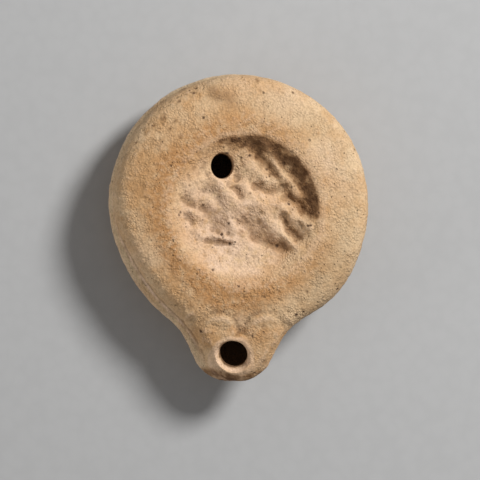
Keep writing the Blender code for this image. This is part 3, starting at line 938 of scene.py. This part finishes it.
def cream_bloom(x, y, fine_cloud):
    """Cream: a bloom on the gentle side of the disc, and patches on the shoulder."""
    bloom = ease((0.0250 - away(x, y, DISCUS_PLACE)) / 0.005)
    bloom = bloom * bell(away(x, y, np.add(DISCUS_PLACE, BLOOM_PLACE)), BLOOM_WIDTH)
    bloom = bloom + spots(x, y, PALE_PATCHES)
    return np.clip(bloom * (1.0 + 0.45 * fine_cloud), 0.0, 1.0)


def olive_cast(lamp, x, y, z, above, cloud):
    """Olive: the right of the shoulder, the left rim, and the band below the seam."""
    right = one_side(disc_angle(x, y), OLIVE_SIDE, 0.4, 0.75)
    right = right * ease((away(x, y, DISCUS_PLACE) - 0.027) / 0.008)
    rim = ease((np.hypot(x, y) - 0.0365) / 0.004) * one_side(np.arctan2(y, x), pi, 0.5, 0.8)
    band = ease((lamp.seam_height + 0.0002 - z) / 0.0010) * ease((z - 0.004) / 0.006)
    shoulder = above * (1.0 - 0.8 * on_nozzle(y))
    olive = np.clip(shoulder * (0.5 * right + 0.45 * rim) + 0.7 * band, 0.0, 1.0)
    return olive * (0.8 + 0.3 * cloud)


def dirt_and_painted_shade(lamp, x, y, above, patchy):
    """Dirt and painted shade: along routes in the disc, less on what stands up, and on the front
    edge of the nozzle's burnt tip, where it is soot and painted shade.
    """
    dirt_and_shade = np.zeros(len(x))
    place = worn_place(lamp, x, y)
    for route, width, strength in DIRT_AND_SHADE.values():
        dirt_and_shade = np.maximum(dirt_and_shade, strength * bell(distance_to_route(*place, route), width))
    raised = np.clip(relief(lamp, x, y) / lamp.relief_height, 0.0, 1.0)
    in_disc = ease((lamp.discus_radius + 0.0015 - away(x, y, DISCUS_PLACE)) / 0.0022)
    dirt_and_shade = dirt_and_shade * (1.0 - 0.5 * raised) * above * in_disc
    # soot and painted shade along the front edge of the nozzle's tip
    past_tip = away(x, y, (lamp.nozzle_place, nozzle_centre(lamp))) - lamp.nozzle_tip
    front = ease((past_tip + 0.0028) / 0.0014) * ease((-0.0525 - y) / 0.0030)
    front = front * (0.70 + 0.30 * ease((0.010 - x) / 0.012))
    return np.clip(np.maximum(dirt_and_shade, 0.95 * front) * patchy, 0.0, 1.0)


def brown_stain_and_shade(lamp, x, y, z, above, fine_cloud):
    """Brown: the stains on the shoulder, and painted shade on the edge at the lower right."""
    stain = np.clip(spots(x, y, STAINS) * above * (1.0 + 0.9 * fine_cloud), 0.0, 1.0)
    # painted shade on the lower right edge, a little above the seam
    edge = bell(z - lamp.seam_height - 0.0012, 0.0016)
    edge = edge * bell(around(np.arctan2(y, x), SHADED_EDGE_SIDE), SHADED_EDGE_REACH)
    return np.clip(stain + 0.55 * edge * (1.0 + 0.6 * fine_cloud), 0.0, 1.0)


def painted_seam_highlight(lamp, points):
    """Painted highlight: the seam's lit edge as a pale line along the lower left, broken by
    notches.
    """
    x, y, z = points.T
    reach = bell(around(np.arctan2(y, x), SEAM_HIGHLIGHT_SIDE), SEAM_HIGHLIGHT_REACH)
    notched = 1.0 + 0.8 * lattice_noise(points, WRINKLE_CELL, lamp.seed + 90)
    line = bell(z - lamp.seam_height - 0.0002, 0.00045)
    return np.clip(0.9 * line * reach * notched, 0.0, 1.0)


def painted_shade_within(lamp, points, faces, surface, above, at_wick):
    """Painted shade: the holes' walls from a little way down, and the chamber's own wall, which
    faces in.
    """
    x, y, z = points.T
    inset = plan_inset(lamp, x, y, UPPER_SWELLS)
    down = surface - z - np.where(at_wick, 0.0034, 0.0012)
    buried = ease(down / 0.0024) * ease((inset - 0.001) / 0.002) * above
    upwards = ease((outward(points, faces)[:, 2] + 0.15) / 0.2)
    faces_in = np.where(z < lamp.seam_height - 0.0005, upwards, 1.0)
    chamber = ease((inset - 0.0024) / 0.0008) * (z < surface - 0.0036) * (z > 0.0030)
    return np.maximum(buried, chamber * faces_in)


def clay_masks(lamp, points, faces, pits):
    """Where each finish shows, painted shade and highlights too, from 0 to 1: by place on the lamp,
    and by hollows and ridges.
    """
    x, y, z = points.T
    surface = top_height(lamp, x, y)
    above = ease((z - lamp.seam_height + 0.001) / 0.002)
    cloud = layered_noise(points, 0.010, 3, lamp.seed + 60)
    fine_cloud = layered_noise(points, 0.0035, 2, lamp.seed + 70)
    speckle = layered_noise(points, 0.0015, 2, lamp.seed + 80)
    patchy = 1.0 + 0.4 * fine_cloud + 0.5 * speckle
    at_wick = away(x, y, wick_centre(lamp)) < lamp.wick_radius + 0.0015
    # painted highlight on the wick hole's wall, a little below its rim
    lit_wall = at_wick * bell(surface - z - 0.0018, 0.0016)
    return {
        "ochre": above * ochre_stain(x, y, cloud),
        # cream bloom, and the painted highlight on the wick hole's wall
        "cream_and_highlight": np.maximum(above * cream_bloom(x, y, fine_cloud), lit_wall),
        "olive": olive_cast(lamp, x, y, z, above, cloud),
        "hollow": np.clip(0.5 + hollowness(points, faces, 12) / 0.00042, 0.0, 1.0),
        # dirt and painted shade: the disc's shaded side, the relief's hollows and the nozzle's
        # front edge
        "dirt_and_shade": dirt_and_painted_shade(lamp, x, y, above, patchy),
        # painted shade inside the holes and the chamber
        "shade_within": painted_shade_within(lamp, points, faces, surface, above, at_wick),
        # painted highlight: the seam's lit edge as a pale line
        "seam": painted_seam_highlight(lamp, points),
        # stains, and painted shade on the lower right edge
        "stain": brown_stain_and_shade(lamp, x, y, z, above, fine_cloud),
        "pitted": np.clip((pit_depth(points, *pits) - 0.00003) / 0.00005, 0.0, 1.0),
    }


def socket(target, key, value):
    """Links a node's output to an input, or sets the input's value."""
    if isinstance(value, bpy.types.NodeSocket):
        target.id_data.links.new(value, target.inputs[key])
    else:
        target.inputs[key].default_value = value


def node(tree, kind, inputs=None, **settings):
    """A new shader node with its settings and inputs."""
    made = tree.nodes.new("ShaderNode" + kind)
    for key, value in settings.items():
        setattr(made, key, value)
    for key, value in (inputs or {}).items():
        socket(made, key, value)
    return made


def mixed(tree, factor, first, second, blend="MIX"):
    """A colour mixed from two others."""
    made = node(tree, "Mix", data_type="RGBA", blend_type=blend)
    for index, value in ((0, factor), (6, first), (7, second)):
        socket(made, index, value if not isinstance(value, tuple) else (*value, 1.0))
    return made.outputs[2]


def maths(tree, operation, *values):
    """A number worked out from others."""
    made = node(tree, "Math", operation=operation)
    for index, value in enumerate(values):
        socket(made, index, value)
    return made.outputs[0]


def ranged(tree, value, low, high, to_low=0.0, to_high=1.0):
    """A number taken smoothly from one range to another."""
    inputs = {"Value": value, "From Min": low, "From Max": high}
    inputs.update({"To Min": to_low, "To Max": to_high})
    return node(tree, "MapRange", inputs, interpolation_type="SMOOTHSTEP").outputs[0]


def new_group(name, inputs, outputs):
    """A shader node group with named sockets; returns it with its input and output nodes."""
    group = bpy.data.node_groups.new(name, "ShaderNodeTree")
    for label, kind, default in inputs:
        made = group.interface.new_socket(label, in_out="INPUT", socket_type=kind)
        if default is not None:
            made.default_value = default
    for label in outputs:
        group.interface.new_socket(label, in_out="OUTPUT", socket_type="NodeSocketFloat")
    return group, group.nodes.new("NodeGroupInput"), group.nodes.new("NodeGroupOutput")


def sandy_grain():
    """Node group: height and tone of a sandy surface, from round grains and finer noise."""
    group, given, made = new_group(
        "sandy grain",
        (("Vector", "NodeSocketVector", None), ("Grain Size", "NodeSocketFloat", 0.0006)),
        ("Height", "Tone"),
    )
    scale = maths(group, "DIVIDE", 1.0, given.outputs["Grain Size"])
    inputs = {"Vector": given.outputs["Vector"], "Scale": scale}
    grains = node(group, "TexVoronoi", inputs).outputs["Distance"]
    inputs.update({"Detail": 3.0, "Roughness": 0.65, "Distortion": 0.4})
    noise = node(group, "TexNoise", inputs).outputs[0]
    height = maths(group, "SUBTRACT", maths(group, "MULTIPLY", noise, 1.1), grains)
    socket(made, "Height", height)
    socket(made, "Tone", ranged(group, height, -0.45, 0.40))
    return group


def scattered_specks():
    """Node group: small round specks in some of the cells of a Voronoi pattern."""
    group, given, made = new_group(
        "scattered specks",
        (
            ("Vector", "NodeSocketVector", None),
            ("Spacing", "NodeSocketFloat", 0.0016),
            ("Size", "NodeSocketFloat", 0.2),
            ("Share", "NodeSocketFloat", 0.3),
        ),
        ("Mask",),
    )
    scale = maths(group, "DIVIDE", 1.0, given.outputs["Spacing"])
    cells = node(group, "TexVoronoi", {"Vector": given.outputs["Vector"], "Scale": scale})
    parts = node(group, "SeparateColor", {"Color": cells.outputs["Color"]})
    size = maths(group, "MULTIPLY", given.outputs["Size"], parts.outputs[1])
    size = maths(group, "ADD", size, 0.04)
    spot = maths(group, "DIVIDE", cells.outputs["Distance"], size)
    spot = ranged(group, spot, 1.3, 0.6)
    chosen = maths(group, "LESS_THAN", parts.outputs[0], given.outputs["Share"])
    socket(made, "Mask", maths(group, "MULTIPLY", spot, chosen))
    return group


def use_group(tree, group, **inputs):
    """A node group placed in a material with its own values."""
    made = node(tree, "Group", node_tree=group)
    for key, value in inputs.items():
        socket(made, key.replace("_", " "), value)
    return made.outputs


def mask(tree, name):
    """One of the finishes' masks, read from the mesh."""
    return node(tree, "Attribute", attribute_name=name).outputs["Fac"]


def terracotta(look, grain, specks):
    """Fired clay: buff with warmer clouds, then coats of stain, bloom, soiling, painted shade and
    painted highlight, then specks, then painted shade in the holes.
    """
    material = bpy.data.materials.new("terracotta")
    material.use_nodes = True
    tree = material.node_tree
    shader = tree.nodes["Principled BSDF"]
    place = node(tree, "TexCoord").outputs["Object"]

    def noise(scale, detail, roughness):
        inputs = {"Vector": place, "Scale": scale, "Detail": detail, "Roughness": roughness}
        return node(tree, "TexNoise", inputs).outputs[0]

    def spotted(spacing, size, share):
        made = use_group(tree, specks, Vector=place, Spacing=spacing, Size=size, Share=share)
        return made["Mask"]

    def times(first, second):
        return maths(tree, "MULTIPLY", first, second)

    cloud = noise(110.0, 4.0, 0.6)
    small_cloud = noise(420.0, 4.0, 0.65)
    sand = use_group(tree, grain, Vector=place, Grain_Size=0.00072)
    dark = spotted(0.0030, 0.13, 0.30)
    tiny = spotted(0.0011, 0.18, 0.22)
    rust = spotted(0.0040, 0.16, 0.20)
    hollow = mask(tree, "hollow")
    # dirt and painted shade, broken up by noise
    soiled_and_shaded = times(mask(tree, "dirt_and_shade"), ranged(tree, small_cloud, 0.2, 0.7, 0.65, 1.0))
    coats = (
        (times(mask(tree, "ochre"), ranged(tree, small_cloud, 0.2, 0.6)), look.ochre),
        # cream bloom, and the painted highlight on the wick hole's wall
        (times(mask(tree, "cream_and_highlight"), ranged(tree, small_cloud, 0.25, 0.55)), look.cream_and_highlight),
        (times(mask(tree, "olive"), 0.7), look.olive),
        (ranged(tree, hollow, 0.42, 0.05, 0.0, 0.25), look.cream_and_highlight),
        # hollows darkened: dirt and painted shade
        (ranged(tree, hollow, 0.60, 1.0, 0.0, 0.45), look.grime_and_shade),
        # dirt and painted shade: first ochre, then dark brown where strongest
        (times(soiled_and_shaded, 0.85), look.ochre),
        (maths(tree, "POWER", soiled_and_shaded, 1.45), look.grime_and_shade),
        # painted highlight along the seam
        (mask(tree, "seam"), look.cream_and_highlight),
        # stains, and painted shade on the lower right edge
        (mask(tree, "stain"), look.stain),
    )
    tint = mixed(tree, ranged(tree, cloud, 0.38, 0.66), tuple(look.buff), tuple(look.warm))
    for share, coat in coats:
        tint = mixed(tree, share, tint, tuple(coat))
    tone = ranged(tree, sand["Tone"], 0.0, 1.0, 0.86, 1.08)
    grey = node(tree, "CombineColor", {0: tone, 1: tone, 2: tone}).outputs[0]
    tint = mixed(tree, 1.0, tint, grey, "MULTIPLY")
    spots_shown = times(maths(tree, "MAXIMUM", times(dark, 0.8), tiny), 0.6)
    last_coats = (
        (times(rust, 0.35), look.ochre),
        (maths(tree, "MAXIMUM", spots_shown, mask(tree, "pitted")), look.speck),
        # painted shade inside the holes and the chamber
        (times(mask(tree, "shade_within"), 0.9), look.grime_and_shade),
    )
    for share, coat in last_coats:
        tint = mixed(tree, share, tint, tuple(coat))
    socket(shader, "Base Color", tint)

    pitted = times(maths(tree, "MAXIMUM", dark, tiny), -0.9)
    worn = ranged(tree, noise(260.0, 3.0, 0.6), 0.36, 0.62, 0.25, 1.0)
    smooth = maths(tree, "SUBTRACT", 1.0, times(mask(tree, "cream_and_highlight"), 0.5))
    rough = times(times(worn, smooth), sand["Height"])
    height = maths(tree, "ADD", rough, pitted)
    bump = node(tree, "Bump", {"Height": height, "Strength": 1.0, "Distance": 0.00034})
    socket(shader, "Normal", bump.outputs[0])
    socket(shader, "Roughness", ranged(tree, small_cloud, 0.2, 0.8, 0.82, 0.97))
    shader.inputs["Specular IOR Level"].default_value = 0.28
    return material


def pale_floor(look, grain):
    """Plain pale studio floor, matte, with the faintest grain."""
    material = bpy.data.materials.new("pale_floor")
    material.use_nodes = True
    tree = material.node_tree
    shader = tree.nodes["Principled BSDF"]
    place = node(tree, "TexCoord").outputs["Object"]
    sand = use_group(tree, grain, Vector=place, Grain_Size=0.004)
    shade = tuple(0.97 * part for part in look.floor_colour)
    socket(shader, "Base Color", mixed(tree, sand["Tone"], shade, tuple(look.floor_colour)))
    shader.inputs["Roughness"].default_value = 0.9
    shader.inputs["Specular IOR Level"].default_value = 0.2
    return material


def shader_groups():
    """The node groups, built once."""
    found = bpy.data.node_groups
    return (
        found.get("sandy grain") or sandy_grain(),
        found.get("scattered specks") or scattered_specks(),
    )


class OILLAMP_OT_make_lamp(bpy.types.Operator):
    """Make the clay lamp, hollow, with its worn surface and its fired-clay material"""

    bl_idname = "oil_lamp.make_lamp"
    bl_label = "Make lamp"

    def execute(self, context):
        lamp = context.scene.oil_lamp_shape
        look = context.scene.oil_lamp_clay
        wick_radii = (lamp.wick_radius, lamp.wick_radius)
        holes = {
            "fill_hole": (fill_centre(lamp), fill_radii(lamp), lamp.fill_taper, (0.0, 0.0)),
            "wick_hole": (wick_centre(lamp), wick_radii, lamp.wick_taper, WICK_HOLE_LEAN),
        }
        cutters = [mesh_object("chamber", *chamber_skin(lamp))]
        for name, hole in holes.items():
            cutters.append(mesh_object(name, *hole_skin(lamp, *hole)))
        points, faces, pits = lamp_skin(lamp)
        points, faces = hollowed(mesh_object("outside", points, faces), cutters)
        points = worn_rims(lamp, points, faces)
        piece = mesh_object("clay_lamp", points, faces)
        for name, values in clay_masks(lamp, points, faces, pits).items():
            attribute = piece.data.attributes.new(name, "FLOAT", "POINT")
            attribute.data.foreach_set("value", values.astype(np.float32))
        piece.data.materials.append(terracotta(look, *shader_groups()))
        piece.data.shade_smooth()
        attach(piece, "root")
        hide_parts("lamp")
        return {"FINISHED"}


def studio_light(name, power, size, tint, azimuth, elevation, distance):
    """A round soft light that looks at the origin from its direction."""
    light = bpy.data.lights.new(name, "AREA")
    light.shape = "DISK"
    light.size = size
    light.energy = power
    light.color = tint
    level = cos(elevation)
    toward = Vector((cos(azimuth) * level, sin(azimuth) * level, sin(elevation)))
    made = bpy.data.objects.new(name, light)
    made.location = toward * distance
    made.rotation_euler = toward.to_track_quat("Z", "Y").to_euler()
    bpy.context.scene.collection.objects.link(made)


def soft_sky(strength):
    """An even pale light from all round."""
    world = bpy.data.worlds.new("soft studio")
    world.use_nodes = True
    sky = world.node_tree.nodes["Background"]
    sky.inputs["Color"].default_value = SKY
    sky.inputs["Strength"].default_value = strength
    bpy.context.scene.world = world


def camera_above(distance, view_width):
    """The camera above the lamp, leaning a little, with the width that it sees."""
    lens = bpy.data.cameras.new("camera")
    lens.sensor_width = SENSOR_WIDTH
    lens.lens = SENSOR_WIDTH * distance / view_width
    lens.clip_end = 20.0
    camera = bpy.data.objects.new("camera", lens)
    ahead = cos(CAMERA_AHEAD)
    back = Vector((-sin(CAMERA_ASIDE) * ahead, -sin(CAMERA_AHEAD), cos(CAMERA_ASIDE) * ahead))
    right = Vector((cos(CAMERA_ASIDE), 0.0, sin(CAMERA_ASIDE)))
    turned = Matrix((right, back.cross(right), back)).transposed().to_4x4()
    place = Vector(CAMERA_TARGET) + back * distance
    camera.matrix_world = Matrix.Translation(place) @ turned
    bpy.context.scene.collection.objects.link(camera)
    bpy.context.scene.camera = camera


class OILLAMP_OT_make_stage(bpy.types.Operator):
    """Make the pale floor, the soft studio light and the camera above the lamp"""

    bl_idname = "oil_lamp.make_stage"
    bl_label = "Make stage"

    def execute(self, context):
        look = context.scene.oil_lamp_stage
        corners = FLOOR_REACH * np.array([(-1, -1, 0), (1, -1, 0), (1, 1, 0), (-1, 1, 0)])
        floor = mesh_object("floor", corners, np.array([(0, 1, 2), (0, 2, 3)]))
        floor.data.materials.append(pale_floor(look, shader_groups()[0]))
        studio_light("key", look.key_power, *KEY_LIGHT)
        studio_light("side fill", look.side_power, *SIDE_LIGHT)
        soft_sky(look.fill_strength)
        camera_above(look.distance, look.view_width)
        context.scene.view_settings.view_transform = "Standard"
        return {"FINISHED"}


class OILLAMP_PT_panel(bpy.types.Panel):
    """Panel with the lamp's sizes and colours"""

    bl_idname = "OILLAMP_PT_panel"
    bl_label = "Oil lamp"
    bl_space_type = "VIEW_3D"
    bl_region_type = "UI"
    bl_category = "Oil lamp"

    def draw(self, context):
        for group, operator in (
            (context.scene.oil_lamp_shape, "oil_lamp.make_lamp"),
            (context.scene.oil_lamp_clay, None),
            (context.scene.oil_lamp_stage, "oil_lamp.make_stage"),
        ):
            box = self.layout.box()
            for name in group.__annotations__:
                box.prop(group, name)
            if operator:
                box.operator(operator)


CLASSES = (
    LampShape,
    ClayLook,
    StageLook,
    OILLAMP_OT_make_lamp,
    OILLAMP_OT_make_stage,
    OILLAMP_PT_panel,
)


def register():
    """Registers the classes and gives the scene their settings."""
    for made in CLASSES:
        bpy.utils.register_class(made)
    bpy.types.Scene.oil_lamp_shape = PointerProperty(type=LampShape)
    bpy.types.Scene.oil_lamp_clay = PointerProperty(type=ClayLook)
    bpy.types.Scene.oil_lamp_stage = PointerProperty(type=StageLook)


def unregister():
    """Takes the settings and the classes away again."""
    del bpy.types.Scene.oil_lamp_stage
    del bpy.types.Scene.oil_lamp_clay
    del bpy.types.Scene.oil_lamp_shape
    for made in reversed(CLASSES):
        bpy.utils.unregister_class(made)


def main():
    """Makes everything in order."""
    register()
    bpy.ops.oil_lamp.make_lamp()
    bpy.ops.oil_lamp.make_stage()


if __name__ == "__main__":
    main()
